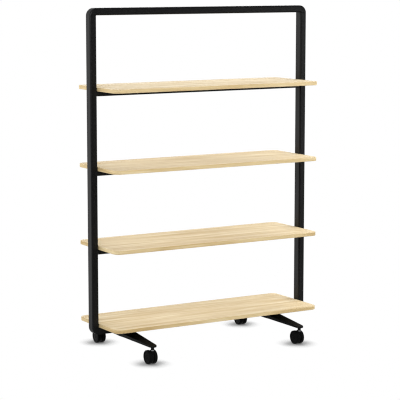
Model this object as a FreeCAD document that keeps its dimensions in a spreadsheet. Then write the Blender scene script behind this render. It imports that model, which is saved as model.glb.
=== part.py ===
import FreeCAD, Part
import Sketcher
import math
import os
import sys

# Mobile shelving unit: a ring frame of rounded tube standing on two cast feet
# with four twin-wheel casters, carrying four wooden shelves.
# Millimetres, +Z up, X along the shelves, -Y towards the front.
# The origin is on the floor at the middle of the footprint; the frame's own
# middle plane stands at plane_y because the casters trail towards the back.

V = FreeCAD.Vector
ROT = FreeCAD.Rotation
doc = FreeCAD.newDocument("mobile_shelving_unit")
sheet = doc.addObject("Spreadsheet::Sheet", "Dims")

DIMS = [
    # frame
    ("plane_y", -17.0), ("overall_height", 1751.0), ("half_outer", 639.5),
    ("tube_width", 36.5), ("tube_depth", 50.0), ("tube_round", 8.0), ("tube_wall", 2.0),
    ("corner_inner", 3.0), ("rail_under", 119.5), ("tongue_length", 45.0), ("tongue_gap", 0.1),
    # shelves
    ("shelf_length", 1200.0), ("shelf_depth", 416.0), ("shelf_thick", 19.0),
    ("shelf_corner", 36.0), ("shelf_edge", 1.6), ("shelf_pitch", 395.5),
    # bars under the three upper shelves
    ("bar_height", 25.0), ("bar_depth", 30.0), ("bar_round", 3.0), ("bar_wall", 2.0),
    ("socket_length", 30.0), ("socket_gap", 0.1),
    # cross plates let into the shelves, and their screws
    ("plate_width", 40.0), ("plate_length", 300.0), ("plate_thick", 4.0),
    ("plate_spread", 430.0), ("plate_gap", 0.2),
    ("screw_shank", 4.5), ("screw_head", 8.6), ("screw_length", 15.0), ("screw_gap", 0.1),
    ("screw_near", 55.0), ("screw_far", 130.0),
    # bolts and nut plates
    ("bolt_shank", 8.0), ("bolt_head", 13.0), ("bolt_head_high", 8.0), ("bolt_gap", 0.4),
    ("thread_gap", 0.1), ("post_nut_thick", 6.0), ("post_nut_wide", 33.0), ("post_nut_high", 30.0),
    ("foot_bolt_shank", 6.0), ("foot_bolt_head", 10.0), ("foot_bolt_head_high", 6.0),
    ("foot_bolt_x", 20.0), ("foot_bolt_y", 11.5),
    ("rail_nut_thick", 8.0), ("rail_nut_long", 70.0), ("rail_nut_wide", 33.0),
    # feet
    ("foot_x", 438.0), ("stem_y", 277.0), ("waist_half", 40.0), ("tip_round", 20.5),
    ("pad_half", 24.0), ("arm_root_top", 115.2), ("arm_tip_top", 97.4),
    ("arm_root_under", 95.2), ("arm_tip_under", 88.0), ("arm_edge", 2.2), ("arm_edge_under", 1.0),
    ("boss_dia", 17.0), ("boss_under", 73.4), ("boss_bore", 11.2), ("boss_bore_top", 94.0),
    # casters
    ("trail", 20.0), ("wheel_dia", 70.0), ("wheel_gap", 13.6), ("wheel_wide", 16.3),
    ("tread_thick", 5.0), ("axle_dia", 8.0), ("axle_half", 20.8), ("run_gap", 0.05),
    ("stem_dia", 11.0), ("collar_dia", 14.0), ("collar_under", 69.0), ("stem_low_dia", 8.0),
    ("stem_low_end", 37.0), ("washer_thick", 1.0), ("neck_dia", 12.8), ("neck_top", 67.9),
    ("fin_wide", 11.6), ("fin_round", 30.0), ("fin_under", 9.0),
]
for row, (alias, value) in enumerate(DIMS, start=1):
    sheet.set("A%d" % row, alias)
    sheet.set("B%d" % row, "%.6g" % value)
    sheet.setAlias("B%d" % row, alias)
doc.recompute()


class Q:
    """A size: its number, and the same size written as an expression on the sheet."""

    def __init__(self, value, text):
        self.value = float(value)
        self.text = text

    def __add__(self, other):
        other = q(other)
        return Q(self.value + other.value, "(%s + %s)" % (self.text, other.text))

    def __radd__(self, other):
        return q(other) + self

    def __sub__(self, other):
        other = q(other)
        return Q(self.value - other.value, "(%s - %s)" % (self.text, other.text))

    def __rsub__(self, other):
        return q(other) - self

    def __mul__(self, other):
        other = q(other)
        return Q(self.value * other.value, "(%s * %s)" % (self.text, other.text))

    def __rmul__(self, other):
        return q(other) * self

    def __truediv__(self, other):
        other = q(other)
        return Q(self.value / other.value, "(%s / %s)" % (self.text, other.text))

    def __neg__(self):
        return q(0) - self


def q(x):
    return x if isinstance(x, Q) else Q(x, "%.6g" % x)


class Sizes:
    pass


d = Sizes()
for alias, _ in DIMS:
    setattr(d, alias, Q(getattr(sheet, alias), "Dims." + alias))

# ---------------------------------------------------------------- helpers


def bind(obj, prop, size):
    size = q(size)
    obj.setExpression(prop, size.text)


def new_body(name):
    body = doc.addObject("PartDesign::Body", name)
    body.Label = name
    return body


def place(obj, x=0, y=0, z=0, rotation=None):
    """Position bound to the sheet; every sub-part is built about the frame's middle plane."""
    x, y, z = q(x), q(y) + d.plane_y, q(z)
    obj.Placement = FreeCAD.Placement(V(x.value, y.value, z.value), rotation or ROT())
    bind(obj, "Placement.Base.x", x)
    bind(obj, "Placement.Base.y", y)
    bind(obj, "Placement.Base.z", z)


def sketch(body, role, lift=None):
    sk = body.newObject("Sketcher::SketchObject", body.Name + "_sketch")
    plane = [f for f in body.Origin.OriginFeatures if f.Role == role][0]
    sk.AttachmentSupport = [(plane, "")]
    sk.MapMode = "FlatFace"
    if lift is not None:
        lift = q(lift)
        sk.AttachmentOffset = FreeCAD.Placement(V(0, 0, lift.value), ROT())
        bind(sk, "AttachmentOffset.Base.z", lift)
    return sk


def pin(sk, geo, pos, x, y):
    """Fix a point of the sketch at (x, y), each bound to the sheet."""
    x, y = q(x), q(y)
    if abs(x.value) < 1e-9:
        sk.addConstraint(Sketcher.Constraint("PointOnObject", geo, pos, -2))
    else:
        i = sk.addConstraint(Sketcher.Constraint("DistanceX", -1, 1, geo, pos, x.value))
        sk.setExpression("Constraints[%d]" % i, x.text)
    if abs(y.value) < 1e-9:
        sk.addConstraint(Sketcher.Constraint("PointOnObject", geo, pos, -1))
    else:
        i = sk.addConstraint(Sketcher.Constraint("DistanceY", -1, 1, geo, pos, y.value))
        sk.setExpression("Constraints[%d]" % i, y.text)


def poly(sk, points):
    points = [(q(x), q(y)) for x, y in points]
    n = len(points)
    g0 = sk.GeometryCount
    for i in range(n):
        a, b = points[i], points[(i + 1) % n]
        sk.addGeometry(Part.LineSegment(V(a[0].value, a[1].value, 0), V(b[0].value, b[1].value, 0)), False)
    for i in range(n):
        sk.addConstraint(Sketcher.Constraint("Coincident", g0 + i, 2, g0 + (i + 1) % n, 1))
    for i in range(n):
        pin(sk, g0 + i, 1, *points[i])


def box(sk, x0, y0, x1, y1):
    poly(sk, [(x0, y0), (x1, y0), (x1, y1), (x0, y1)])


def circle(sk, x, y, dia):
    x, y, dia = q(x), q(y), q(dia)
    g = sk.addGeometry(Part.Circle(V(x.value, y.value, 0), V(0, 0, 1), dia.value / 2), False)
    pin(sk, g, 3, x, y)
    i = sk.addConstraint(Sketcher.Constraint("Diameter", g, dia.value))
    sk.setExpression("Constraints[%d]" % i, dia.text)


def rounded(sk, cx, cy, wx, wy, r):
    """Rectangle wx by wy about (cx, cy) with corner radius r."""
    cx, cy, wx, wy, r = q(cx), q(cy), q(wx), q(wy), q(r)
    x0, x1, y0, y1 = cx - wx / 2, cx + wx / 2, cy - wy / 2, cy + wy / 2
    a, b, c, e, k = x0.value, x1.value, y0.value, y1.value, r.value
    g0 = sk.GeometryCount
    line = lambda p, s: sk.addGeometry(Part.LineSegment(V(p[0], p[1], 0), V(s[0], s[1], 0)), False)
    bottom = line((a + k, c), (b - k, c))
    right = line((b, c + k), (b, e - k))
    top = line((b - k, e), (a + k, e))
    left = line((a, e - k), (a, c + k))
    corner = []
    for mx, my, start in ((b - k, c + k, 270), (b - k, e - k, 0), (a + k, e - k, 90), (a + k, c + k, 180)):
        circ = Part.Circle(V(mx, my, 0), V(0, 0, 1), k)
        corner.append(sk.addGeometry(
            Part.ArcOfCircle(circ, math.radians(start), math.radians(start + 90)), False))
    add = lambda *args: sk.addConstraint(Sketcher.Constraint(*args))
    ring = [bottom, corner[0], right, corner[1], top, corner[2], left, corner[3]]
    for i in range(8):
        add("Tangent", ring[i], 2, ring[(i + 1) % 8], 1)
    add("Horizontal", bottom)
    add("Horizontal", top)
    add("Vertical", right)
    add("Vertical", left)
    for i in (1, 2, 3):
        add("Equal", corner[0], corner[i])
    i = add("Radius", corner[0], k)
    sk.setExpression("Constraints[%d]" % i, r.text)
    for geo, kind, size in ((left, "DistanceX", x0), (right, "DistanceX", x1),
                            (bottom, "DistanceY", y0), (top, "DistanceY", y1)):
        i = add(kind, -1, 1, geo, 1, size.value)
        sk.setExpression("Constraints[%d]" % i, size.text)


def pad(body, sk, length, both=False, back=False):
    f = body.newObject("PartDesign::Pad", body.Name + "_pad")
    f.Profile = sk
    length = q(length)
    f.Length = length.value
    bind(f, "Length", length)
    f.Midplane = both
    f.Reversed = back
    sk.Visibility = False
    return f


def pocket(body, sk, length, both=False, back=False):
    """Cut; the volume has to fall, because a cut that points into the air removes nothing."""
    doc.recompute()
    before = body.Shape.Volume
    f = body.newObject("PartDesign::Pocket", body.Name + "_pocket")
    f.Profile = sk
    length = q(length)
    f.Length = length.value
    bind(f, "Length", length)
    f.Midplane = both
    f.Reversed = back
    doc.recompute()
    if not body.Shape.Volume < before - 1e-3:
        raise RuntimeError("a pocket of %s removes nothing" % body.Label)
    return f


def turn(body, sk, axis, angle=360.0, back=False):
    f = body.newObject("PartDesign::Revolution", body.Name + "_turn")
    f.Profile = sk
    f.ReferenceAxis = (sk, [axis])
    f.Angle = angle
    f.Reversed = back
    return f


def soften(body, size, keep, kind="PartDesign::Fillet"):
    """Round (or chamfer) the edges of the body's last feature that keep() picks."""
    doc.recompute()
    tip = body.Tip
    names = ["Edge%d" % (i + 1) for i, e in enumerate(tip.Shape.Edges) if keep(e)]
    if not names:
        raise RuntimeError("no edge picked on %s" % body.Label)
    f = body.newObject(kind, body.Name + "_edges")
    f.Base = (tip, names)
    size = q(size)
    prop = "Radius" if kind.endswith("Fillet") else "Size"
    setattr(f, prop, size.value)
    bind(f, prop, size)
    doc.recompute()
    if "Invalid" in f.State or f.Shape.isNull() or not f.Shape.isValid():
        raise RuntimeError("edges of %s failed" % body.Label)
    return f


def group(name, proto, spots):
    """One node of separate equal solids: copies of a pattern piece at the given placements."""
    doc.recompute()
    base = proto.Shape.copy()
    shapes = []
    for spot in spots:
        s = base.copy()
        s.Placement = spot.multiply(base.Placement)
        shapes.append(s)
    f = doc.addObject("Part::Feature", name)
    f.Label = name
    f.Shape = Part.makeCompound(shapes)
    f.Placement = FreeCAD.Placement(V(0, d.plane_y.value, 0), ROT())
    bind(f, "Placement.Base.y", d.plane_y)
    return f


def at(x, y, z, rotation=None):
    return FreeCAD.Placement(V(q(x).value, q(y).value, q(z).value), rotation or ROT())


def is_circle(e):
    return e.Curve.TypeId == "Part::GeomCircle"


NODES = []


def keep_node(obj):
    NODES.append(obj)
    return obj


# ---------------------------------------------------------------- derived places
post_x = d.half_outer - d.tube_width / 2
inner_x = d.half_outer - d.tube_width
rail_top_under = d.overall_height - d.tube_width
rail_low_top = d.rail_under + d.tube_width
bend_x = inner_x - d.corner_inner
bend_top = rail_top_under - d.corner_inner
bend_low = rail_low_top + d.corner_inner
shelf_low = [rail_low_top + d.shelf_pitch * n for n in (3, 2, 1, 0)]  # undersides, top shelf first
bar_mid = [z - d.bar_height / 2 for z in shelf_low[:3]]
tongue_w = d.tube_width - 2 * d.tube_wall - 2 * d.tongue_gap
tongue_d = d.tube_depth - 2 * d.tube_wall - 2 * d.tongue_gap
tongue_r = d.tube_round - d.tube_wall - d.tongue_gap

# ---------------------------------------------------------------- posts
for name, side in (("left_post", -1), ("right_post", 1)):
    body = new_body(name)
    sk = sketch(body, "XY_Plane")
    rounded(sk, 0, 0, d.tube_width, d.tube_depth, d.tube_round)
    rounded(sk, 0, 0, d.tube_width - 2 * d.tube_wall, d.tube_depth - 2 * d.tube_wall, d.tube_round - d.tube_wall)
    pad(body, sk, bend_top - bend_low)
    # a bolt hole in the inner wall behind each shelf bar
    sk = sketch(body, "YZ_Plane")
    for z in bar_mid:
        circle(sk, 0, z - bend_low, d.bolt_shank + d.bolt_gap)
    pocket(body, sk, d.tube_width / 2 + 1, back=(side < 0))
    place(body, post_x * side, 0, bend_low)
    keep_node(body)

# ---------------------------------------------------------------- rails
for name, mid in (("top_rail", rail_top_under + d.tube_width / 2), ("bottom_rail", d.rail_under + d.tube_width / 2)):
    body = new_body(name)
    sk = sketch(body, "YZ_Plane")
    rounded(sk, 0, 0, d.tube_depth, d.tube_width, d.tube_round)
    rounded(sk, 0, 0, d.tube_depth - 2 * d.tube_wall, d.tube_width - 2 * d.tube_wall, d.tube_round - d.tube_wall)
    pad(body, sk, 2 * bend_x, both=True)
    if name == "bottom_rail":
        # foot bolt holes in the lower wall
        sk = sketch(body, "XY_Plane")
        for side in (-1, 1):
            for sx in (-1, 1):
                for sy in (-1, 1):
                    circle(sk, d.foot_x * side + d.foot_bolt_x * sx, d.foot_bolt_y * sy, d.foot_bolt_shank + d.bolt_gap)
        pocket(body, sk, d.tube_width / 2 + 1)
    place(body, 0, 0, mid)
    keep_node(body)

# ---------------------------------------------------------------- corner connectors
# a quarter turn of the tube's outline about the inner corner, with a tongue into the post and one into the rail
for name, sx, z, angle in (("corner_top_right", 1, bend_top, 0), ("corner_top_left", -1, bend_top, -90),
                           ("corner_bottom_left", -1, bend_low, 180), ("corner_bottom_right", 1, bend_low, 90)):
    body = new_body(name)
    mid = d.corner_inner + d.tube_width / 2
    sk = sketch(body, "XY_Plane")
    rounded(sk, mid, 0, d.tube_width, d.tube_depth, d.tube_round)
    f = turn(body, sk, "V_Axis", 90.0)
    doc.recompute()
    if body.Shape.BoundBox.ZMax < 1:
        f.Reversed = True
        doc.recompute()
    sk = sketch(body, "XY_Plane")
    rounded(sk, mid, 0, tongue_w, tongue_d, tongue_r)
    pad(body, sk, d.tongue_length, back=True)
    sk = sketch(body, "YZ_Plane")
    rounded(sk, 0, mid, tongue_d, tongue_w, tongue_r)
    pad(body, sk, d.tongue_length, back=True)
    place(body, bend_x * sx, 0, z, ROT(V(0, 1, 0), angle))
    keep_node(body)

# ---------------------------------------------------------------- shelves
screw_rows = [d.screw_near, d.screw_far, -d.screw_near, -d.screw_far]
plate_x = [-d.plate_spread, q(0), d.plate_spread]
for name, z in zip(("top_shelf", "upper_shelf", "lower_shelf", "bottom_shelf"), shelf_low):
    body = new_body(name)
    sk = sketch(body, "XY_Plane")
    rounded(sk, 0, 0, d.shelf_length, d.shelf_depth, d.shelf_corner)
    pad(body, sk, d.shelf_thick)
    soften(body, d.shelf_edge, lambda e: abs(e.BoundBox.ZLength) < 1e-6)
    # recesses for the cross plates, and pilot holes for their screws
    sk = sketch(body, "XY_Plane")
    for x in plate_x:
        box(sk, x - d.plate_width / 2 - d.plate_gap, -d.plate_length / 2 - d.plate_gap,
            x + d.plate_width / 2 + d.plate_gap, d.plate_length / 2 + d.plate_gap)
    pocket(body, sk, d.plate_thick, back=True)
    sk = sketch(body, "XY_Plane")
    for x in plate_x:
        for y in screw_rows:
            circle(sk, x, y, d.screw_shank + d.screw_gap)
    pocket(body, sk, d.screw_length + 0.5, back=True)
    place(body, 0, 0, z)
    keep_node(body)

# ---------------------------------------------------------------- bars under the upper shelves
for name, z in zip(("top_shelf_bar", "upper_shelf_bar", "lower_shelf_bar"), bar_mid):
    body = new_body(name)
    sk = sketch(body, "YZ_Plane")
    rounded(sk, 0, 0, d.bar_depth, d.bar_height, d.bar_round)
    rounded(sk, 0, 0, d.bar_depth - 2 * d.bar_wall, d.bar_height - 2 * d.bar_wall, d.bar_round - d.bar_wall)
    pad(body, sk, 2 * inner_x, both=True)
    place(body, 0, 0, z)
    keep_node(body)

# ---------------------------------------------------------------- pattern pieces for the groups
# bar socket: a block on the post that fills the bar's end, bored for its bolt along X, outer face at x = 0
socket = new_body("socket_pattern")
sk = sketch(socket, "YZ_Plane")
rounded(sk, 0, 0, d.bar_depth - 2 * d.bar_wall - 2 * d.socket_gap, d.bar_height - 2 * d.bar_wall - 2 * d.socket_gap,
        d.bar_round - d.bar_wall + 0.4)
pad(socket, sk, d.socket_length)
sk = sketch(socket, "YZ_Plane")
circle(sk, 0, 0, d.bolt_shank + d.bolt_gap)
pocket(socket, sk, d.socket_length + 1, back=True)
sk = sketch(socket, "YZ_Plane", d.socket_length)
circle(sk, 0, 0, d.bolt_head + 1)
pocket(socket, sk, d.bolt_head_high + 1)


def bolt_pattern(name, shank, head, head_high, length, key):
    """Socket-head bolt about Z: head above z = 0, shank below."""
    body = new_body(name)
    sk = sketch(body, "XZ_Plane")
    bevel = shank * 0.1
    poly(sk, [(0, -length), (shank / 2 - bevel, -length), (shank / 2, bevel - length), (shank / 2, 0), (head / 2, 0),
              (head / 2, head_high - 0.6), (head / 2 - 0.6, head_high), (0, head_high)])
    turn(body, sk, "V_Axis")
    sk = sketch(body, "XY_Plane", head_high)
    key = q(key)
    poly(sk, [(key * round(math.cos(math.radians(a)), 6), key * round(math.sin(math.radians(a)), 6))
              for a in (0, 60, 120, 180, 240, 300)])
    pocket(body, sk, head_high * 0.55)
    return body


wall_bolt = bolt_pattern("wall_bolt_pattern", d.bolt_shank, d.bolt_head, d.bolt_head_high,
                         d.socket_length - d.bolt_head_high - 1 + d.tube_wall + d.post_nut_thick, 3.46)
foot_bolt = bolt_pattern("foot_bolt_pattern", d.foot_bolt_shank, d.foot_bolt_head, d.foot_bolt_head_high,
                         d.rail_under - d.arm_root_under - d.foot_bolt_head_high - 0.6 + d.tube_wall + d.rail_nut_thick, 2.88)

# nut plate inside a post, face against the wall at x = 0, running to -x
post_nut = new_body("post_nut_pattern")
sk = sketch(post_nut, "YZ_Plane")
box(sk, -d.post_nut_wide / 2, -d.post_nut_high / 2, d.post_nut_wide / 2, d.post_nut_high / 2)
circle(sk, 0, 0, d.bolt_shank + d.thread_gap)
pad(post_nut, sk, d.post_nut_thick, back=True)

# nut plate lying on the bottom rail's lower wall
rail_nut = new_body("rail_nut_pattern")
sk = sketch(rail_nut, "XY_Plane")
box(sk, -d.rail_nut_long / 2, -d.rail_nut_wide / 2, d.rail_nut_long / 2, d.rail_nut_wide / 2)
for sx in (-1, 1):
    for sy in (-1, 1):
        circle(sk, d.foot_bolt_x * sx, d.foot_bolt_y * sy, d.foot_bolt_shank + d.thread_gap)
pad(rail_nut, sk, d.rail_nut_thick)

# cross plate with four countersunk holes, underside at z = 0
plate = new_body("cross_plate_pattern")
sk = sketch(plate, "XY_Plane")
rounded(sk, 0, 0, d.plate_width, d.plate_length, 0.6)
for y in screw_rows:
    circle(sk, 0, y, d.screw_shank + d.screw_gap)
pad(plate, sk, d.plate_thick)
# the countersink is a little wider than the screw's cone, so the two stay just clear
soften(plate, (d.screw_head - d.screw_shank) / 2 + 0.35,
       lambda e: is_circle(e) and abs(e.BoundBox.ZMax) < 1e-6 and e.Curve.Radius > 1.5, "PartDesign::Chamfer")

# countersunk wood screw about Z, head face at z = 0, point upwards
screw = new_body("screw_pattern")
sk = sketch(screw, "XZ_Plane")
sink = (d.screw_head - d.screw_shank) / 2
poly(sk, [(0, 0.2), (d.screw_head / 2, 0.2), (d.screw_shank / 2, sink + 0.2), (d.screw_shank / 2, d.screw_length - 3.5),
          (0, d.screw_length)])
turn(screw, sk, "V_Axis")
sk = sketch(screw, "XY_Plane")
poly(sk, [(1.5 * round(math.cos(math.radians(a)), 6), 1.5 * round(math.sin(math.radians(a)), 6))
          for a in (0, 60, 120, 180, 240, 300)])
pocket(screw, sk, 1.8, back=True)

doc.recompute()

# ---------------------------------------------------------------- groups of equal pieces
to_left = ROT(V(0, 0, 1), 180)
keep_node(group("bar_sockets", socket,
                [at(-inner_x, 0, z) for z in bar_mid] + [at(inner_x, 0, z, to_left) for z in bar_mid]))
head_in = d.socket_length - d.bolt_head_high - 1
keep_node(group("bar_bolts", wall_bolt,
                [at(-inner_x + head_in, 0, z, ROT(V(0, 1, 0), 90)) for z in bar_mid]
                + [at(inner_x - head_in, 0, z, ROT(V(0, 1, 0), -90)) for z in bar_mid]))
keep_node(group("post_nut_plates", post_nut,
                [at(-inner_x - d.tube_wall, 0, z) for z in bar_mid]
                + [at(inner_x + d.tube_wall, 0, z, to_left) for z in bar_mid]))
for name, z in zip(("top_cross_plates", "upper_cross_plates", "lower_cross_plates", "bottom_cross_plates"), shelf_low):
    keep_node(group(name, plate, [at(x, 0, z) for x in plate_x]))
keep_node(group("shelf_screws", screw, [at(x, y, z) for z in shelf_low for x in plate_x for y in screw_rows]))
foot_spots = [(d.foot_x * side + d.foot_bolt_x * sx, d.foot_bolt_y * sy)
              for side in (-1, 1) for sx in (-1, 1) for sy in (-1, 1)]
keep_node(group("foot_bolts", foot_bolt,
                [at(x, y, d.arm_root_under + d.foot_bolt_head_high + 0.6, ROT(V(1, 0, 0), 180)) for x, y in foot_spots]))
keep_node(group("rail_nut_plates", rail_nut,
                [at(d.foot_x * side, 0, d.rail_under + d.tube_wall) for side in (-1, 1)]))

# ---------------------------------------------------------------- feet
# One casting each: a pad under the bottom rail and two arms that narrow, thin and slope down to a rounded tip
# with a round socket under it.
tip_end = d.stem_y + d.tip_round
for name, side in (("left_foot", -1), ("right_foot", 1)):
    body = new_body(name)
    sk = sketch(body, "YZ_Plane")
    step = d.pad_half + 5
    # the slopes run on past the tip, which the plan outline then cuts round
    over = tip_end + 12
    flat = d.pad_half + 20
    over_top = d.arm_tip_top - (d.arm_root_top - d.arm_tip_top) * 12 / (tip_end - step)
    over_under = d.arm_tip_under - (d.arm_root_under - d.arm_tip_under) * 12 / (tip_end - flat)
    poly(sk, [(-over, over_under), (-flat, d.arm_root_under), (flat, d.arm_root_under),
              (over, over_under), (over, over_top), (step, d.arm_root_top), (d.pad_half, d.rail_under),
              (-d.pad_half, d.rail_under), (-step, d.arm_root_top), (-over, over_top)])
    pad(body, sk, 2 * d.waist_half + 6, both=True)
    # trim to the plan outline: straight sides from the waist, tangent to a round tip
    sk = sketch(body, "XY_Plane", d.rail_under + 2)
    far = over + 10
    box(sk, -d.waist_half - 20, -far, d.waist_half + 20, far)
    k, w, s = d.tip_round.value, d.waist_half.value, d.stem_y.value
    lean = math.atan2(w, s) - math.asin(k / math.hypot(w, s))
    tx, ty = k * math.cos(lean), s + k * math.sin(lean)
    seg = lambda p, r: sk.addGeometry(Part.LineSegment(V(p[0], p[1], 0), V(r[0], r[1], 0)), False)
    l1 = seg((w, 0), (tx, ty))
    a1 = sk.addGeometry(Part.ArcOfCircle(Part.Circle(V(0, s, 0), V(0, 0, 1), k), lean, math.pi - lean), False)
    l2 = seg((-tx, ty), (-w, 0))
    l3 = seg((-w, 0), (-tx, -ty))
    a2 = sk.addGeometry(Part.ArcOfCircle(Part.Circle(V(0, -s, 0), V(0, 0, 1), k), math.pi + lean, 2 * math.pi - lean), False)
    l4 = seg((tx, -ty), (w, 0))
    add = lambda *args: sk.addConstraint(Sketcher.Constraint(*args))
    add("Tangent", l1, 2, a1, 1)
    add("Tangent", a1, 2, l2, 1)
    add("Coincident", l2, 2, l3, 1)
    add("Tangent", l3, 2, a2, 1)
    add("Tangent", a2, 2, l4, 1)
    add("Coincident", l4, 2, l1, 1)
    pin(sk, l1, 1, d.waist_half, 0)
    pin(sk, l3, 1, -d.waist_half, 0)
    pin(sk, a1, 3, 0, d.stem_y)
    pin(sk, a2, 3, 0, -d.stem_y)
    for arc in (a1, a2):
        i = add("Radius", arc, k)
        sk.setExpression("Constraints[%d]" % i, d.tip_round.text)
    pocket(body, sk, d.rail_under)

    # soften the long edges with the round tips between them: broad above, slight below
    def above(e):
        b = e.BoundBox
        return (b.YLength > 15 and b.ZLength > 0.2 and b.ZMin > d.arm_tip_under.value + 3
                and b.ZMax < d.arm_root_top.value + 0.1)

    def below(e):
        b = e.BoundBox
        return b.YLength > 15 and b.ZMax < d.arm_root_under.value + 0.1 and b.ZMin < d.arm_tip_under.value + 1.5
    soften(body, d.arm_edge, above)
    soften(body, d.arm_edge_under, below)
    # sockets under the tips
    sk = sketch(body, "XY_Plane", d.boss_under)
    for y in (-d.stem_y, d.stem_y):
        circle(sk, 0, y, d.boss_dia)
    pad(body, sk, d.arm_tip_under + 4 - d.boss_under)
    sk = sketch(body, "XY_Plane", d.boss_under)
    for y in (-d.stem_y, d.stem_y):
        circle(sk, 0, y, d.boss_bore)
    pocket(body, sk, d.boss_bore_top - d.boss_under, back=True)
    # bolt holes through the pad, counterbored from below
    sk = sketch(body, "XY_Plane", d.arm_root_under - 1)
    for sx in (-1, 1):
        for sy in (-1, 1):
            circle(sk, d.foot_bolt_x * sx, d.foot_bolt_y * sy, d.foot_bolt_shank + d.bolt_gap)
    pocket(body, sk, d.rail_under - d.arm_root_under + 2, back=True)
    sk = sketch(body, "XY_Plane", d.arm_root_under)
    for sx in (-1, 1):
        for sy in (-1, 1):
            circle(sk, d.foot_bolt_x * sx, d.foot_bolt_y * sy, d.foot_bolt_head + 1)
    pocket(body, sk, d.foot_bolt_head_high + 0.6, back=True)
    place(body, d.foot_x * side, 0, 0)
    keep_node(body)

# ---------------------------------------------------------------- small caster pieces fixed to the feet
stem_spots = [("front_left", -1, -1), ("front_right", 1, -1), ("rear_left", -1, 1), ("rear_right", 1, 1)]
ring = new_body("grip_ring_pattern")
sk = sketch(ring, "XZ_Plane")
box(sk, 4.75, -1.4, 5.5, 1.4)
turn(ring, sk, "V_Axis", 320.0)
washer = new_body("washer_pattern")
sk = sketch(washer, "XY_Plane")
circle(sk, 0, 0, d.collar_dia - 1)
circle(sk, 0, 0, d.stem_low_dia + 0.2)
pad(washer, sk, d.washer_thick)
keep_node(group("stem_grip_rings", ring, [at(d.foot_x * sx, d.stem_y * sy, 87.5) for _, sx, sy in stem_spots]))
keep_node(group("swivel_washers", washer,
                [at(d.foot_x * sx, d.stem_y * sy, d.collar_under - d.washer_thick) for _, sx, sy in stem_spots]))

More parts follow.
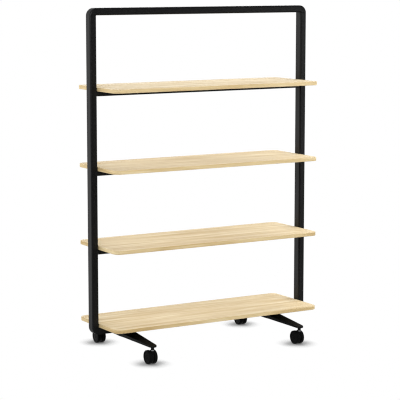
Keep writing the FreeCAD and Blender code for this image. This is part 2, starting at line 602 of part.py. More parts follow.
# ---------------------------------------------------------------- casters
axle_z = d.wheel_dia / 2
core_r = d.wheel_dia / 2 - d.tread_thick
x_in = d.wheel_gap / 2
x_out = d.wheel_gap / 2 + d.wheel_wide
for corner, sx, sy in stem_spots:
    cx, cy = d.foot_x * sx, d.stem_y * sy
    # stem: shank in the foot's socket with a groove for the grip ring, bright collar, swivel pin below
    body = new_body(corner + "_stem")
    sk = sketch(body, "XZ_Plane")
    hi, sr, lr, cr = d.boss_bore_top - 0.6, d.stem_dia / 2, d.stem_low_dia / 2, d.collar_dia / 2
    poly(sk, [(0, d.stem_low_end), (lr - 0.8, d.stem_low_end), (lr, d.stem_low_end + 0.8), (lr, d.collar_under),
              (cr - 0.7, d.collar_under), (cr, d.collar_under + 0.7), (cr, d.boss_under - 0.7), (cr - 0.7, d.boss_under),
              (sr, d.boss_under), (sr, 86), (4.7, 86), (4.7, 89), (sr, 89), (sr, hi - 1), (sr - 1, hi), (0, hi)])
    turn(body, sk, "V_Axis")
    place(body, cx, cy, 0)
    keep_node(body)

    # housing: a neck round the swivel pin and a round fin between the wheels, cut flat above the floor
    body = new_body(corner + "_housing")
    sk = sketch(body, "YZ_Plane")
    r, zc, cut = d.fin_round.value, axle_z.value, d.fin_under.value
    half = math.asin((zc - cut) / r)
    arc = sk.addGeometry(Part.ArcOfCircle(Part.Circle(V(d.trail.value, zc, 0), V(0, 0, 1), r), -half, math.pi + half), False)
    y0, y1 = d.trail.value - r * math.cos(half), d.trail.value + r * math.cos(half)
    flat = sk.addGeometry(Part.LineSegment(V(y0, cut, 0), V(y1, cut, 0)), False)
    sk.addConstraint(Sketcher.Constraint("Coincident", arc, 2, flat, 1))
    sk.addConstraint(Sketcher.Constraint("Coincident", flat, 2, arc, 1))
    sk.addConstraint(Sketcher.Constraint("Horizontal", flat))
    pin(sk, arc, 3, d.trail, axle_z)
    i = sk.addConstraint(Sketcher.Constraint("Radius", arc, r))
    sk.setExpression("Constraints[%d]" % i, d.fin_round.text)
    i = sk.addConstraint(Sketcher.Constraint("DistanceY", -1, 1, flat, 1, cut))
    sk.setExpression("Constraints[%d]" % i, d.fin_under.text)
    pad(body, sk, d.fin_wide, both=True)
    soften(body, 2.0, lambda e: e.BoundBox.XLength < 1e-6 and e.BoundBox.ZLength > 5)
    sk = sketch(body, "XY_Plane", d.stem_low_end - 6)
    circle(sk, 0, 0, d.neck_dia)
    pad(body, sk, d.neck_top - d.stem_low_end + 6)
    soften(body, 1.2, lambda e: is_circle(e) and abs(e.BoundBox.ZMin - d.neck_top.value) < 1e-6)
    sk = sketch(body, "XY_Plane", d.neck_top)
    circle(sk, 0, 0, d.stem_low_dia + 2 * d.run_gap)
    pocket(body, sk, d.neck_top - d.stem_low_end + 0.4)
    sk = sketch(body, "YZ_Plane")
    circle(sk, d.trail, axle_z, d.axle_dia + 0.02)
    pocket(body, sk, d.fin_wide + 4, both=True)
    place(body, cx, cy, 0)
    keep_node(body)

    # axle along X, fixed in the fin
    body = new_body(corner + "_axle")
    sk = sketch(body, "YZ_Plane")
    circle(sk, 0, 0, d.axle_dia)
    pad(body, sk, 2 * d.axle_half, both=True)
    soften(body, 0.6, is_circle, "PartDesign::Chamfer")
    place(body, cx, cy + d.trail, axle_z)
    keep_node(body)

    for letter, hand in (("a", -1), ("b", 1)):
        # wheel core: hub, web and rim inside, dished face with a domed cap outside
        body = new_body("%s_wheel_%s" % (corner, letter))
        sk = sketch(body, "XY_Plane")
        bore = d.axle_dia / 2 + d.run_gap
        pts = [(d.fin_wide / 2 + 0.3, bore), (d.fin_wide / 2 + 0.3, 9), (x_in + 2.5, 9), (x_in + 2.5, core_r - 5),
               (x_in, core_r - 5), (x_in, core_r), (x_out - 0.4, core_r), (x_out - 0.4, core_r - 3.4),
               (x_out - 2.4, core_r - 4.6), (x_out - 2.4, core_r - 6.4), (x_out - 0.9, core_r - 9), (x_out - 0.3, 10.2),
               (x_out - 1.5, 9.6), (x_out - 1.5, 8.6), (x_out + 0.2, 7.6), (x_out + 0.9, 3.5), (x_out + 0.9, 0),
               (d.axle_half + 0.4, 0), (d.axle_half + 0.4, bore)]
        poly(sk, [(x * hand, r) for x, r in pts])
        turn(body, sk, "H_Axis")
        place(body, cx, cy + d.trail, axle_z)
        keep_node(body)
        # soft tread round the core
        body = new_body("%s_tread_%s" % (corner, letter))
        sk = sketch(body, "XY_Plane")
        poly(sk, [(x * hand, r) for x, r in ((x_in, core_r), (x_in, d.wheel_dia / 2), (x_out, d.wheel_dia / 2), (x_out, core_r))])
        turn(body, sk, "H_Axis")
        outer_x = x_out.value * hand
        soften(body, 3.6, lambda e: is_circle(e) and abs(e.Curve.Radius - d.wheel_dia.value / 2) < 1e-6
               and abs(e.BoundBox.XMin - outer_x) < 1e-6)
        inner_edge = x_in.value * hand
        soften(body, 1.4, lambda e: is_circle(e) and abs(e.Curve.Radius - d.wheel_dia.value / 2) < 1e-6
               and abs(e.BoundBox.XMin - inner_edge) < 1e-6)
        place(body, cx, cy + d.trail, axle_z)
        keep_node(body)

# ---------------------------------------------------------------- test and write
doc.recompute()
bad = []
for obj in doc.Objects:
    if "Invalid" in obj.State or "Error" in obj.State:
        bad.append(obj.Label + " " + str(obj.State))
for obj in NODES:
    if obj.Shape.isNull() or not obj.Shape.isValid() or not obj.Shape.Solids:
        bad.append(obj.Label + " has no valid solid")
if bad:
    print("\n".join(bad))
    sys.exit(1)
os.makedirs("parts", exist_ok=True)
for obj in NODES:
    obj.Shape.exportStep("parts/%s.step" % obj.Label)
    b = obj.Shape.BoundBox
    print("%-22s solids %2d  volume %10.1f  x %8.2f %8.2f  y %8.2f %8.2f  z %8.2f %8.2f" % (
        obj.Label, len(obj.Shape.Solids), obj.Shape.Volume, b.XMin, b.XMax, b.YMin, b.YMax, b.ZMin, b.ZMax))
print("nodes", len(NODES))
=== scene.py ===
import math

import bmesh
import bpy
from mathutils import Matrix, Vector


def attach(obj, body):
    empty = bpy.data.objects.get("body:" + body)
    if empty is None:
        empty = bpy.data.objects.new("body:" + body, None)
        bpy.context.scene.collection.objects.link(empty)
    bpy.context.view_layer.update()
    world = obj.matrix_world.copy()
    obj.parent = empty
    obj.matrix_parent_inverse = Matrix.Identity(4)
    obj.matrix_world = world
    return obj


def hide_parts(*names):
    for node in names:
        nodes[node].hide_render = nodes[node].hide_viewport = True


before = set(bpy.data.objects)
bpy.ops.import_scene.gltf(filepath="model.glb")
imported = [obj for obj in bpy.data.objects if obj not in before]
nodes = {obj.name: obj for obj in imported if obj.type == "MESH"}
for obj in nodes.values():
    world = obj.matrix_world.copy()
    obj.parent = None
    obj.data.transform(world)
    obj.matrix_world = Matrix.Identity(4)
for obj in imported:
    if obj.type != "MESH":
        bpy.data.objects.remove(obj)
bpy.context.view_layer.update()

scene = bpy.context.scene

# ------------------------------------------------------------------ sizes, in metres, as the solids have them
PLANE = -0.017          # the frame's middle plane
HALF = 0.6395           # outer face of a post
TW, TD, TR, WALL = 0.0365, 0.050, 0.008, 0.002
INNER = HALF - TW
POST_X = HALF - TW / 2
BEND = 0.003
HIGH, RAIL_LOW = 1.751, 0.1195
BEND_X = INNER - BEND
BEND_TOP = HIGH - TW - BEND
BEND_LOW = RAIL_LOW + TW + BEND
SHELF = dict(bottom_shelf=0.156, lower_shelf=0.5515, upper_shelf=0.947, top_shelf=1.3425)
SL, SD, ST, SR, SE = 1.200, 0.416, 0.019, 0.036, 0.0016
PLATE_X = (-0.430, 0.0, 0.430)


# ------------------------------------------------------------------ mesh helpers
def rounded_loop(w, d, r, n):
    """Outline of a w by d rectangle with corner radius r, n steps to a corner, anticlockwise."""
    pts = []
    for sx, sy, a0 in ((1, -1, -90), (1, 1, 0), (-1, 1, 90), (-1, -1, 180)):
        cx, cy = sx * (w / 2 - r), sy * (d / 2 - r)
        for i in range(n + 1):
            a = math.radians(a0 + 90.0 * i / n)
            pts.append((cx + r * math.cos(a), cy + r * math.sin(a)))
    return pts


def bridge(faces, a, b, n):
    for i in range(n):
        j = (i + 1) % n
        faces.append((a + i, a + j, b + j, b + i))


def loft(loops, closed=False, caps=True):
    """Faces between equal loops of points; closed joins the last loop to the first, caps fills both ends."""
    n = len(loops[0])
    verts = [p for loop in loops for p in loop]
    faces = []
    for k in range(len(loops) - 1):
        bridge(faces, k * n, (k + 1) * n, n)
    if closed:
        bridge(faces, (len(loops) - 1) * n, 0, n)
    elif caps:
        faces.append(tuple(reversed(range(n))))
        faces.append(tuple(range((len(loops) - 1) * n, len(loops) * n)))
    return verts, faces


def finish_mesh(name, verts, faces, angle=40.0, weighted=True):
    me = bpy.data.meshes.new(name)
    me.from_pydata([tuple(v) for v in verts], [], faces)
    bm = bmesh.new()
    bm.from_mesh(me)
    bmesh.ops.recalc_face_normals(bm, faces=bm.faces)
    bm.to_mesh(me)
    bm.free()
    me.polygons.foreach_set("use_smooth", [True] * len(me.polygons))
    me.set_sharp_from_angle(angle=math.radians(angle))
    me.update()
    ob = bpy.data.objects.new(name, me)
    scene.collection.objects.link(ob)
    if weighted:
        mod = ob.modifiers.new("even_normals", "WEIGHTED_NORMAL")
        mod.keep_sharp = True
        mod.weight = 90
    return ob


def stands_for(ob, node, body, mat):
    ob.data.materials.append(mat)
    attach(ob, body)
    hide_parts(node)


def join_parts(parts):
    verts, faces = [], []
    for v, f in parts:
        k = len(verts)
        verts += list(v)
        faces += [tuple(i + k for i in face) for face in f]
    return verts, faces


# ------------------------------------------------------------------ materials
def new_material(name):
    m = bpy.data.materials.new(name)
    m.use_nodes = True
    nt = m.node_tree
    nt.nodes.clear()
    out = nt.nodes.new("ShaderNodeOutputMaterial")
    sh = nt.nodes.new("ShaderNodeBsdfPrincipled")
    nt.links.new(sh.outputs[0], out.inputs[0])
    return m, nt, sh


class Graph:
    """Small helper that adds and links nodes."""

    def __init__(self, nt):
        self.nt = nt
        self.co = nt.nodes.new("ShaderNodeTexCoord").outputs["Object"]

    def put(self, socket, value):
        if isinstance(value, bpy.types.NodeSocket):
            self.nt.links.new(value, socket)
        else:
            socket.default_value = value

    def stretch(self, scale, move=(0, 0, 0), vec=None):
        n = self.nt.nodes.new("ShaderNodeMapping")
        self.put(n.inputs["Vector"], vec or self.co)
        n.inputs["Scale"].default_value = scale
        n.inputs["Location"].default_value = move
        return n.outputs[0]

    def noise(self, vec, scale=1.0, detail=3.0, rough=0.55, distort=0.0):
        n = self.nt.nodes.new("ShaderNodeTexNoise")
        self.put(n.inputs["Vector"], vec)
        n.inputs["Scale"].default_value = scale
        n.inputs["Detail"].default_value = detail
        n.inputs["Roughness"].default_value = rough
        n.inputs["Distortion"].default_value = distort
        return n.outputs["Fac"]

    def cells(self, vec, scale=1.0):
        n = self.nt.nodes.new("ShaderNodeTexVoronoi")
        self.put(n.inputs["Vector"], vec)
        n.inputs["Scale"].default_value = scale
        return n.outputs["Distance"]

    def math(self, op, a, b=0.0, clamp=False):
        n = self.nt.nodes.new("ShaderNodeMath")
        n.operation = op
        n.use_clamp = clamp
        self.put(n.inputs[0], a)
        self.put(n.inputs[1], b)
        return n.outputs[0]

    def span(self, value, a, b, lo, hi):
        n = self.nt.nodes.new("ShaderNodeMapRange")
        n.clamp = True
        self.put(n.inputs["Value"], value)
        for key, v in (("From Min", a), ("From Max", b), ("To Min", lo), ("To Max", hi)):
            n.inputs[key].default_value = v
        return n.outputs[0]

    def ramp(self, fac, stops):
        n = self.nt.nodes.new("ShaderNodeValToRGB")
        self.put(n.inputs[0], fac)
        el = n.color_ramp.elements
        while len(el) < len(stops):
            el.new(0.5)
        for e, (pos, col) in zip(el, stops):
            e.position = pos
            e.color = (*col, 1.0)
        return n.outputs[0]

    def mix(self, fac, a, b, kind="MIX"):
        n = self.nt.nodes.new("ShaderNodeMix")
        n.data_type = "RGBA"
        n.blend_type = kind
        self.put(n.inputs[0], fac)
        for socket, v in ((n.inputs[6], a), (n.inputs[7], b)):
            self.put(socket, v if isinstance(v, bpy.types.NodeSocket) else (*v, 1.0))
        return n.outputs[2]

    def xyz(self, vec=None):
        n = self.nt.nodes.new("ShaderNodeSeparateXYZ")
        self.put(n.inputs[0], vec or self.co)
        return n.outputs

    def bump(self, height, strength, distance, under=None):
        n = self.nt.nodes.new("ShaderNodeBump")
        n.inputs["Strength"].default_value = strength
        n.inputs["Distance"].default_value = distance
        self.put(n.inputs["Height"], height)
        if under is not None:
            self.put(n.inputs["Normal"], under)
        return n.outputs[0]

    def edges(self):
        """Pointiness, high on convex edges; the finishes use it to paint a highlight there."""
        n = self.nt.nodes.new("ShaderNodeNewGeometry")
        return n.outputs["Pointiness"]


def powder_coat(name, dark, light, rough, grain=0.28, specular=0.20):
    """Fine-textured black powder coat: orange-peel bumps, slight tone and gloss drift, a painted highlight on convex
    edges.
    """
    m, nt, sh = new_material(name)
    g = Graph(nt)
    drift = g.noise(g.stretch((3.0, 3.0, 2.0)), 1.0, 3.0)
    peel = g.noise(g.stretch((1, 1, 1)), 900.0, 2.0, 0.5)
    fine = g.noise(g.stretch((1, 1, 1)), 2600.0, 2.0, 0.6)
    tone = g.math("ADD", g.math("MULTIPLY", drift, 0.75), g.math("MULTIPLY", fine, 0.25))
    colour = g.mix(g.span(tone, 0.32, 0.68, 0.0, 1.0), dark, light)
    # painted highlight: convex edges, found by pointiness, are painted lighter
    edge_highlight_paint = g.span(g.edges(), 0.53, 0.60, 0.0, 0.35)
    g.put(sh.inputs["Base Color"], g.mix(edge_highlight_paint, colour, tuple(2.2 * c for c in light)))
    patch = g.math("ADD", g.math("MULTIPLY", drift, 0.6), g.math("MULTIPLY", peel, 0.4))
    g.put(sh.inputs["Roughness"], g.span(patch, 0.3, 0.7, rough - 0.05, rough + 0.06))
    h = g.math("ADD", g.math("MULTIPLY", peel, 0.7), g.math("MULTIPLY", fine, 0.3))
    g.put(sh.inputs["Normal"], g.bump(h, grain, 0.00012))
    sh.inputs["Specular IOR Level"].default_value = specular
    return m


def board_wood(name, seed):
    """Pale crown-cut oak: growth rings of a log that runs along X, streaks, short pores, matt lacquer."""
    m, nt, sh = new_material(name)
    g = Graph(nt)
    mx, my = 0.37 * seed, 0.11 * seed
    open_ = (1.0, 0.9, 0.8, 0.4)[seed % 4]                  # how open the pores are; the top board is the closest-grained
    # painted sheen: a per-board tone; the top board is paled towards blue to paint the sheen it shows
    painted_sheen_tint = ((1.0, 1.0, 1.0), (1.0, 1.0, 1.0), (1.0, 1.0, 0.995), (1.0, 1.003, 1.018))[seed % 4]
    wood = [tuple(a * b for a, b in zip(c, painted_sheen_tint)) for c in WOOD]
    # the edges carry a strip of the same wood, bent round the corners, so its grain runs along the edge all round
    side = nt.nodes.new("ShaderNodeTexCoord").outputs["Normal"]
    nz = g.math("ABSOLUTE", g.xyz(side)[2])
    x, y, z = g.xyz()[:3]
    front = PLANE - SD / 2
    around = g.math("ADD", x, g.math("MULTIPLY", g.math("SIGN", x), g.math("SUBTRACT", y, front)))
    strip = nt.nodes.new("ShaderNodeCombineXYZ")
    g.put(strip.inputs[0], around)
    strip.inputs[1].default_value = front + (0.10, 0.0, 0.05, 0.0)[seed % 4]
    g.put(strip.inputs[2], z)
    place = nt.nodes.new("ShaderNodeMix")
    place.data_type = "VECTOR"
    g.put(place.inputs[0], g.span(nz, 0.60, 0.64, 1.0, 0.0))
    g.put(place.inputs[4], g.co)
    g.put(place.inputs[5], strip.outputs[0])
    g.co = place.outputs[1]
    x, y, z = g.xyz()[:3]
    # slow wander of the fibres along the board
    wander = g.noise(g.stretch((1.3, 5.0, 5.0), (mx, my, seed)), 1.0, 2.0)
    ripple = g.noise(g.stretch((4.5, 30.0, 30.0), (mx, my, seed)), 1.0, 2.0)
    # ring distance: the log's heart lies under the board and dips along its length
    heart_y = (0.055, -0.075, 0.03, -0.04)[seed % 4] + PLANE
    heart_z = list(SHELF.values())[seed % 4] - (0.052, 0.066, 0.045, 0.075)[seed % 4]
    dip = (0.045, -0.038, 0.052, -0.044)[seed % 4]
    dy = g.math("SUBTRACT", y, heart_y)
    dy = g.math("ADD", dy, g.math("MULTIPLY", g.math("SUBTRACT", wander, 0.5), 0.060))
    dz = g.math("ADD", g.math("SUBTRACT", z, heart_z), g.math("MULTIPLY", x, dip))
    dz = g.math("ADD", dz, g.math("MULTIPLY", g.math("SUBTRACT", ripple, 0.5), 0.004))
    r = g.math("SQRT", g.math("ADD", g.math("MULTIPLY", dy, dy), g.math("MULTIPLY", dz, dz)))
    ring = g.math("FRACT", g.math("MULTIPLY", r, 1.0 / 0.0085))
    late = g.math("POWER", ring, 2.4)                       # pale early wood, darker late wood, sharp step back
    late = g.math("MULTIPLY", late, g.span(ring, 0.93, 1.0, 1.0, 0.0))
    # years of slow growth gather the rings into wider darker bands
    years = g.noise(g.stretch((2.2, 34.0, 34.0), (mx + 3.0, my, seed)), 1.0, 3.0, 0.62, 0.4)
    streak = g.noise(g.stretch((2.4, 120.0, 120.0), (mx, my, seed)), 1.0, 4.0, 0.6, 0.25)
    broad = g.noise(g.stretch((0.8, 9.0, 9.0), (mx, my, seed)), 1.0, 2.0)
    fibre = g.noise(g.stretch((14.0, 850.0, 850.0), (mx, my, seed)), 1.0, 3.0, 0.6)
    pore = g.noise(g.stretch((34.0, 1500.0, 1500.0), (my, mx, seed)), 1.0, 1.0, 0.5)
    pores = g.math("MULTIPLY", g.span(pore, 0.60, 0.72, 0.0, 1.0), g.span(ring, 0.0, 0.45, 1.0, 0.25))
    base = g.ramp(g.span(broad, 0.3, 0.7, 0.0, 1.0), [(0.0, wood[0]), (1.0, wood[1])])
    c = g.mix(g.span(years, 0.47, 0.66, 0.0, 0.90), base, wood[2])
    c = g.mix(g.span(years, 0.45, 0.30, 0.0, 0.85), c, wood[3])
    c = g.mix(g.math("MULTIPLY", late, 0.14 + 0.12 * open_), c, wood[2])
    c = g.mix(g.span(streak, 0.46, 0.74, 0.0, 0.55), c, wood[2])
    c = g.mix(g.span(streak, 0.42, 0.24, 0.0, 0.55), c, wood[3])
    c = g.mix(g.span(fibre, 0.38, 0.75, 0.0, 0.06 + 0.12 * open_), c, wood[2])
    c = g.mix(g.math("MULTIPLY", pores, 0.26 * open_), c, wood[4])
    # the side faces, picked by their normal, are multiplied by a warmer tone with less green and blue than the top and
    # bottom
    c = g.mix(g.span(nz, 0.35, 0.85, 0.85, 0.0), c, EDGE, "MULTIPLY")
    g.put(sh.inputs["Base Color"], c)
    g.put(sh.inputs["Roughness"], g.span(g.math("ADD", g.math("MULTIPLY", streak, 0.6), g.math("MULTIPLY", fibre, 0.4)),
                                         0.3, 0.7, 0.54, 0.68))
    h = g.math("SUBTRACT", g.math("MULTIPLY", fibre, 0.6), g.math("MULTIPLY", pores, 0.9))
    g.put(sh.inputs["Normal"], g.bump(h, 0.20 * open_, 0.00015))
    sh.inputs["Specular IOR Level"].default_value = 0.14
    return m


def moulded(name, dark, light, rough, grain, specular=0.45):
    """Moulded plastic or rubber: fine mould texture, faint flow tone, duller scuffed patches, a painted highlight on
    convex edges.
    """
    m, nt, sh = new_material(name)
    g = Graph(nt)
    flow = g.noise(g.stretch((30, 30, 30)), 1.0, 3.0)
    tex = g.cells(g.stretch((1, 1, 1)), 1400.0)
    fine = g.noise(g.stretch((1, 1, 1)), 3000.0, 2.0)
    colour = g.mix(g.span(flow, 0.3, 0.7, 0.0, 1.0), dark, light)
    # painted highlight: convex edges, found by pointiness, are painted lighter
    edge_highlight_paint = g.span(g.edges(), 0.53, 0.62, 0.0, 0.4)
    g.put(sh.inputs["Base Color"], g.mix(edge_highlight_paint, colour, tuple(2.0 * c for c in light)))
    g.put(sh.inputs["Roughness"], g.span(g.math("ADD", g.math("MULTIPLY", flow, 0.7), g.math("MULTIPLY", fine, 0.3)),
                                         0.3, 0.7, rough - 0.07, rough + 0.09))
    g.put(sh.inputs["Normal"], g.bump(g.math("ADD", g.math("MULTIPLY", tex, 0.6), g.math("MULTIPLY", fine, 0.4)), grain, 0.0001))
    sh.inputs["Specular IOR Level"].default_value = specular
    return m


def plated(name, dark, light, rough, turned=(1, 1, 1)):
    """Plated or bare steel: fine machining streaks and cloudy plating."""
    m, nt, sh = new_material(name)
    g = Graph(nt)
    cloud = g.noise(g.stretch((60, 60, 60)), 1.0, 3.0)
    lines = g.noise(g.stretch(turned), 1.0, 2.0)
    g.put(sh.inputs["Base Color"], g.mix(g.span(cloud, 0.3, 0.7, 0.0, 1.0), dark, light))
    g.put(sh.inputs["Roughness"], g.span(g.math("ADD", g.math("MULTIPLY", cloud, 0.5), g.math("MULTIPLY", lines, 0.5)),
                                         0.3, 0.7, rough - 0.06, rough + 0.10))
    g.put(sh.inputs["Normal"], g.bump(lines, 0.12, 0.00005))
    sh.inputs["Metallic"].default_value = 1.0
    return m


WOOD = [(0.626, 0.511, 0.325), (0.666, 0.558, 0.369), (0.482, 0.356, 0.189), (0.758, 0.676, 0.498), (0.346, 0.239, 0.123)]
EDGE = (1.00, 0.948, 0.795)
coat = powder_coat("black_powder_coat", (0.0026, 0.0026, 0.0028), (0.0042, 0.0042, 0.0044), 0.40)
cast_coat = powder_coat("black_coated_casting", (0.0022, 0.0022, 0.0024), (0.0036, 0.0036, 0.0038), 0.50, 0.7, 0.18)
plate_coat = powder_coat("black_coated_plate", (0.0040, 0.0040, 0.0042), (0.0066, 0.0066, 0.0068), 0.48)
hub_plastic = moulded("caster_moulding", (0.0022, 0.0022, 0.0024), (0.0038, 0.0038, 0.0040), 0.46, 0.35, 0.085)
tread_rubber = moulded("soft_tread", (0.0020, 0.0020, 0.0021), (0.0034, 0.0034, 0.0036), 0.62, 0.6, 0.06)
nylon = moulded("black_nylon", (0.0060, 0.0060, 0.0062), (0.0090, 0.0090, 0.0094), 0.45, 0.3, 0.30)
bright_zinc = plated("bright_zinc", (0.66, 0.67, 0.69), (0.80, 0.81, 0.82), 0.24, (200, 200, 4000))
bare_steel = plated("zinc_plated_steel", (0.46, 0.47, 0.48), (0.60, 0.61, 0.62), 0.36, (1200, 1200, 1200))

# ------------------------------------------------------------------ frame tubes
SEAM = 0.0005           # tiny broken edge where a tube meets a corner piece
STEPS = 8


def tube(section, wall, round_, length, to_world):
    """Hollow rounded tube along its own w axis, ends slightly broken; to_world maps (u, v, w)."""
    w, d = section
    loops = []
    for t, inset in ((0.0, SEAM), (SEAM, 0.0), (length * 0.25, 0.0), (length * 0.5, 0.0), (length * 0.75, 0.0),
                     (length - SEAM, 0.0), (length, SEAM)):
        loops.append([to_world(u, v, t) for u, v in rounded_loop(w - 2 * inset, d - 2 * inset, round_ - inset, STEPS)])
    inner = rounded_loop(w - 2 * wall, d - 2 * wall, max(round_ - wall, 0.0004), STEPS)
    loops.append([to_world(u, v, length) for u, v in inner])
    loops.append([to_world(u, v, 0.0) for u, v in inner])
    return loft(loops, closed=True)


for node, sx in (("left_post", -1), ("right_post", 1)):
    v, f = tube((TW, TD), WALL, TR, BEND_TOP - BEND_LOW,
                lambda u, w, t, sx=sx: (sx * POST_X + u, PLANE + w, BEND_LOW + t))
    stands_for(finish_mesh(node + "_tube", v, f), node, "frame", coat)

for node, z in (("top_rail", HIGH - TW / 2), ("bottom_rail", RAIL_LOW + TW / 2)):
    v, f = tube((TD, TW), WALL, TR, 2 * BEND_X, lambda u, w, t, z=z: (t - BEND_X, PLANE + u, z + w))
    stands_for(finish_mesh(node + "_tube", v, f), node, "frame", coat)

for node, shelf in (("top_shelf_bar", "top_shelf"), ("upper_shelf_bar", "upper_shelf"), ("lower_shelf_bar", "lower_shelf")):
    z = SHELF[shelf] - 0.0125
    v, f = tube((0.030, 0.025), WALL, 0.003, 2 * INNER, lambda u, w, t, z=z: (t - INNER, PLANE + u, z + w))
    stands_for(finish_mesh(node + "_tube", v, f), node, "frame", coat)


# ------------------------------------------------------------------ corner pieces
def corner_piece(node, sx, z, turn):
    mid = BEND + TW / 2
    m = Matrix.Translation((sx * BEND_X, PLANE, z)) @ Matrix.Rotation(math.radians(turn), 4, "Y")
    seam = SEAM / mid
    stations = [(0.0, SEAM), (seam, 0.0)] + [(math.pi / 2 * i / 28, 0.0) for i in range(1, 28)] \
        + [(math.pi / 2 - seam, 0.0), (math.pi / 2, SEAM)]
    loops = []
    for a, inset in stations:
        ring = rounded_loop(TW - 2 * inset, TD - 2 * inset, TR - inset, STEPS)
        loops.append([m @ Vector(((mid + u) * math.cos(a), v, (mid + u) * math.sin(a))) for u, v in ring])
    parts = [loft(loops)]
    # tongues into the post and the rail
    tw, td, tr, tl = 0.0323, 0.0458, 0.0059, 0.045
    parts.append(loft([[m @ Vector((mid + u, v, -t)) for u, v in rounded_loop(tw, td, tr, STEPS)] for t in (0.0002, tl)]))
    parts.append(loft([[m @ Vector((-t, u, mid + v)) for u, v in rounded_loop(td, tw, tr, STEPS)] for t in (0.0002, tl)]))
    v, f = join_parts(parts)
    stands_for(finish_mesh(node + "_cast", v, f), node, "frame", coat)


for node, sx, z, turn in (("corner_top_right", 1, BEND_TOP, 0), ("corner_top_left", -1, BEND_TOP, -90),
                          ("corner_bottom_left", -1, BEND_LOW, 180), ("corner_bottom_right", 1, BEND_LOW, 90)):
    corner_piece(node, sx, z, turn)


# ------------------------------------------------------------------ shelves
def board(node, z0, mat):
    steps, n = 5, 14
    rows = []
    for i in range(steps + 1):
        a = math.pi / 2 * i / steps
        rows.append((SE - SE * math.sin(math.pi / 2 - a), SE * (1 - math.sin(a))))       # (height, inset) up the lower arris
    rows += [(ST - h, inset) for h, inset in reversed(rows)]
    loops = [[Vector((u, PLANE + v, z0 + h)) for u, v in rounded_loop(SL - 2 * i, SD - 2 * i, SR - i, n)] for h, i in rows]
    count = len(loops[0])
    bm = bmesh.new()
    rings = [[bm.verts.new(p) for p in loop] for loop in loops]
    for a, b in zip(rings, rings[1:]):
        for i in range(count):
            j = (i + 1) % count
            bm.faces.new((a[i], a[j], b[j], b[i]))
    bm.faces.new(rings[-1])
    # underside with the three recesses for the cross plates
    edges = [bm.edges.get((rings[0][i], rings[0][(i + 1) % count])) for i in range(count)]
    for px in PLATE_X:
        hx, hy = 0.0202, 0.1502
        low = [bm.verts.new((px + a * hx, PLANE + b * hy, z0)) for a, b in ((-1, -1), (1, -1), (1, 1), (-1, 1))]
        top = [bm.verts.new((v.co.x, v.co.y, z0 + 0.004)) for v in low]
        for i in range(4):
            j = (i + 1) % 4
            edges.append(bm.edges.new((low[i], low[j])))
            bm.faces.new((low[i], top[i], top[j], low[j]))
        bm.faces.new(top)
    bmesh.ops.triangle_fill(bm, use_beauty=True, edges=edges)
    bmesh.ops.recalc_face_normals(bm, faces=bm.faces)
    me = bpy.data.meshes.new(node + "_board")
    bm.to_mesh(me)
    bm.free()
    me.polygons.foreach_set("use_smooth", [True] * len(me.polygons))
    me.set_sharp_from_angle(angle=math.radians(40))
    ob = bpy.data.objects.new(node + "_board", me)
    scene.collection.objects.link(ob)
    mod = ob.modifiers.new("even_normals", "WEIGHTED_NORMAL")
    mod.keep_sharp = True
    mod.weight = 100
    stands_for(ob, node, "frame", mat)


for seed, (node, z0) in enumerate(SHELF.items()):
    board(node, z0, board_wood("pale_oak_" + node, seed))

# ------------------------------------------------------------------ finishes of the carried-over nodes
finish = {"left_foot": cast_coat, "right_foot": cast_coat, "swivel_washers": nylon}
for n in ("top_cross_plates", "upper_cross_plates", "lower_cross_plates", "bottom_cross_plates"):
    finish[n] = plate_coat
for n in ("bar_sockets", "bar_bolts", "post_nut_plates", "shelf_screws", "foot_bolts", "rail_nut_plates", "stem_grip_rings"):
    finish[n] = bare_steel
for c in ("front_left", "front_right", "rear_left", "rear_right"):
    finish[c + "_stem"] = bright_zinc
    finish[c + "_housing"] = hub_plastic
    finish[c + "_axle"] = bare_steel
    for side in "ab":
        finish["%s_wheel_%s" % (c, side)] = hub_plastic
        finish["%s_tread_%s" % (c, side)] = tread_rubber
for n, mat in finish.items():
    ob = nodes[n]
    ob.data.materials.clear()
    ob.data.materials.append(mat)

# ------------------------------------------------------------------ floor, light, camera
# a plain white floor that glows evenly, with only a soft contact shade close to what stands on it
me = bpy.data.meshes.new("floor")
R = 40.0
me.from_pydata([(-R, -R, 0), (R, -R, 0), (R, R, 0), (-R, R, 0)], [], [(0, 1, 2, 3)])
floor = bpy.data.objects.new("floor", me)
scene.collection.objects.link(floor)
floor.location.z = -0.0002
fm = bpy.data.materials.new("pale_floor")
fm.use_nodes = True
ft = fm.node_tree
ft.nodes.clear()
fout = ft.nodes.new("ShaderNodeOutputMaterial")
near = ft.nodes.new("ShaderNodeAmbientOcclusion")
near.samples = 16
near.inputs["Distance"].default_value = 0.085
shade = ft.nodes.new("ShaderNodeValToRGB")
ft.links.new(near.outputs["AO"], shade.inputs[0])
stops = ((0.0, 0.05), (0.50, 0.28), (0.70, 0.40), (0.82, 0.49), (0.86, 0.60), (0.90, 0.725), (0.93, 0.815),
         (0.96, 0.895), (0.985, 0.955), (1.0, 1.0))
while len(shade.color_ramp.elements) < len(stops):
    shade.color_ramp.elements.new(0.5)
for e, (pos, val) in zip(shade.color_ramp.elements, stops):
    e.position = pos
    e.color = (val, val, val, 1.0)
glow = ft.nodes.new("ShaderNodeEmission")
ft.links.new(shade.outputs[0], glow.inputs["Color"])
fill = ft.nodes.new("ShaderNodeEmission")
fill.inputs["Color"].default_value = (1.0, 1.0, 1.0, 1.0)
fco = ft.nodes.new("ShaderNodeTexCoord")
fxyz = ft.nodes.new("ShaderNodeSeparateXYZ")
ft.links.new(fco.outputs["Object"], fxyz.inputs[0])
flevel = ft.nodes.new("ShaderNodeMapRange")
ft.links.new(fxyz.outputs["Y"], flevel.inputs["Value"])
for key, val in (("From Min", -1.5), ("From Max", 1.5), ("To Min", 0.16), ("To Max", 1.02)):
    flevel.inputs[key].default_value = val
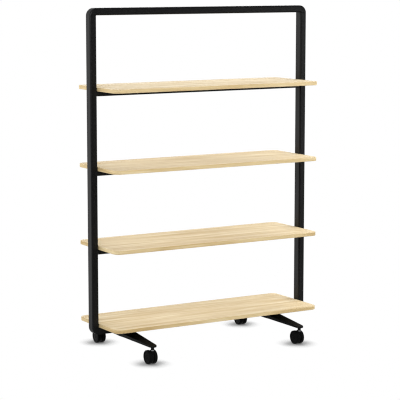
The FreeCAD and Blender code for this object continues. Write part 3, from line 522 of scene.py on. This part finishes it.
# the floor under the object stands in its shade and gives less light back
fnear = ft.nodes.new("ShaderNodeMapping")
fnear.inputs["Scale"].default_value = (1.0 / 0.70, 1.0 / 0.28, 0.0)
ft.links.new(fco.outputs["Object"], fnear.inputs["Vector"])
fdist = ft.nodes.new("ShaderNodeVectorMath")
fdist.operation = "LENGTH"
ft.links.new(fnear.outputs[0], fdist.inputs[0])
fdim = ft.nodes.new("ShaderNodeMapRange")
fdim.interpolation_type = "SMOOTHSTEP"
ft.links.new(fdist.outputs["Value"], fdim.inputs["Value"])
for key, val in (("From Min", 0.7), ("From Max", 1.35), ("To Min", 0.08), ("To Max", 1.0)):
    fdim.inputs[key].default_value = val
fmul = ft.nodes.new("ShaderNodeMath")
fmul.operation = "MULTIPLY"
ft.links.new(flevel.outputs[0], fmul.inputs[0])
ft.links.new(fdim.outputs[0], fmul.inputs[1])
ft.links.new(fmul.outputs[0], fill.inputs["Strength"])
fpath = ft.nodes.new("ShaderNodeLightPath")
fpick = ft.nodes.new("ShaderNodeMixShader")
ft.links.new(fpath.outputs["Is Camera Ray"], fpick.inputs[0])
ft.links.new(fill.outputs[0], fpick.inputs[1])
ft.links.new(glow.outputs[0], fpick.inputs[2])
ft.links.new(fpick.outputs[0], fout.inputs[0])
me.materials.append(fm)

# soft surround: bright behind the object, dim on the camera's side; plain white where the camera sees it
world = bpy.data.worlds.new("studio")
scene.world = world
world.use_nodes = True
wt = world.node_tree
wt.nodes.clear()
wout = wt.nodes.new("ShaderNodeOutputWorld")
coord = wt.nodes.new("ShaderNodeTexCoord")
split = wt.nodes.new("ShaderNodeSeparateXYZ")
wt.links.new(coord.outputs["Generated"], split.inputs[0])
ramp = wt.nodes.new("ShaderNodeMapRange")
ramp.interpolation_type = "SMOOTHSTEP"
wt.links.new(split.outputs["Y"], ramp.inputs["Value"])
for key, val in (("From Min", -0.62), ("From Max", 0.62), ("To Min", 0.10), ("To Max", 1.05)):
    ramp.inputs[key].default_value = val
# brightest along the horizon, dimmer overhead
lift = wt.nodes.new("ShaderNodeMapRange")
lift.interpolation_type = "SMOOTHSTEP"
wt.links.new(split.outputs["Z"], lift.inputs["Value"])
for key, val in (("From Min", 0.10), ("From Max", 0.50), ("To Min", 1.0), ("To Max", 0.45)):
    lift.inputs[key].default_value = val
level = wt.nodes.new("ShaderNodeMath")
level.operation = "MULTIPLY"
wt.links.new(ramp.outputs[0], level.inputs[0])
wt.links.new(lift.outputs[0], level.inputs[1])
soft = wt.nodes.new("ShaderNodeBackground")
soft.inputs["Color"].default_value = (1.0, 1.0, 1.0, 1.0)
wt.links.new(level.outputs[0], soft.inputs["Strength"])
seen = wt.nodes.new("ShaderNodeBackground")
seen.inputs["Color"].default_value = (1.0, 1.0, 1.0, 1.0)
seen.inputs["Strength"].default_value = 1.0
path = wt.nodes.new("ShaderNodeLightPath")
pick = wt.nodes.new("ShaderNodeMixShader")
wt.links.new(path.outputs["Is Camera Ray"], pick.inputs[0])
wt.links.new(soft.outputs[0], pick.inputs[1])
wt.links.new(seen.outputs[0], pick.inputs[2])
wt.links.new(pick.outputs[0], wout.inputs[0])


def softbox(name, at, to, size, watts, mirrored=True, lights=True):
    li = bpy.data.lights.new(name, "AREA")
    li.shape = "RECTANGLE"
    li.size, li.size_y = size
    li.energy = watts
    ob = bpy.data.objects.new(name, li)
    scene.collection.objects.link(ob)
    ob.location = at
    ob.rotation_euler = (Vector(to) - Vector(at)).to_track_quat("-Z", "Y").to_euler()
    ob.visible_camera = False
    ob.visible_glossy = mirrored
    ob.visible_diffuse = lights
    return ob


softbox("back_left", (-1.7, 3.9, 2.9), (0.0, 0.0, 0.8), (6.5, 1.8), 172, False)
softbox("low_back_right", (2.8, 4.5, 1.75), (0.0, 0.0, 1.3), (2.6, 0.9), 6)
softbox("sheen_card", (1.1, 2.0, 2.0), (0.0, 0.0, 1.45), (2.6, 0.8), 13, True, False)
softbox("front_left", (-3.4, -3.6, 3.4), (0.0, 0.0, 0.8), (4.4, 3.0), 212)
softbox("front_right", (3.6, -4.2, 0.90), (0.3, 0.0, 0.8), (1.2, 1.7), 26)
softbox("left_side", (-4.0, -1.4, 1.3), (-0.5, -0.1, 0.8), (1.5, 2.0), 28, False)
softbox("right_front", (3.4, -3.6, 3.4), (0.0, 0.0, 0.8), (3.0, 2.0), 220, False)
softbox("right_side", (4.0, -1.2, 1.6), (0.4, -0.1, 0.8), (1.5, 2.0), 35, False)
softbox("top_right", (2.5, 0.5, 4.0), (0.3, 0.0, 0.8), (2.0, 2.0), 66, False)

cam = bpy.data.cameras.new("camera")
cam.sensor_width = 36.0
cam.lens = 148.483
cam.clip_end = 200.0
eye = bpy.data.objects.new("camera", cam)
scene.collection.objects.link(eye)
eye.location = (-4.32328, -7.26999, 1.93432)
eye.rotation_euler = (math.radians(90.0 - 7.93255), 0.0, math.radians(-30.8024))
scene.camera = eye

scene.view_settings.view_transform = "Standard"
scene.view_settings.look = "None"
scene.view_settings.exposure = 0.0
scene.cycles.filter_width = 1.2
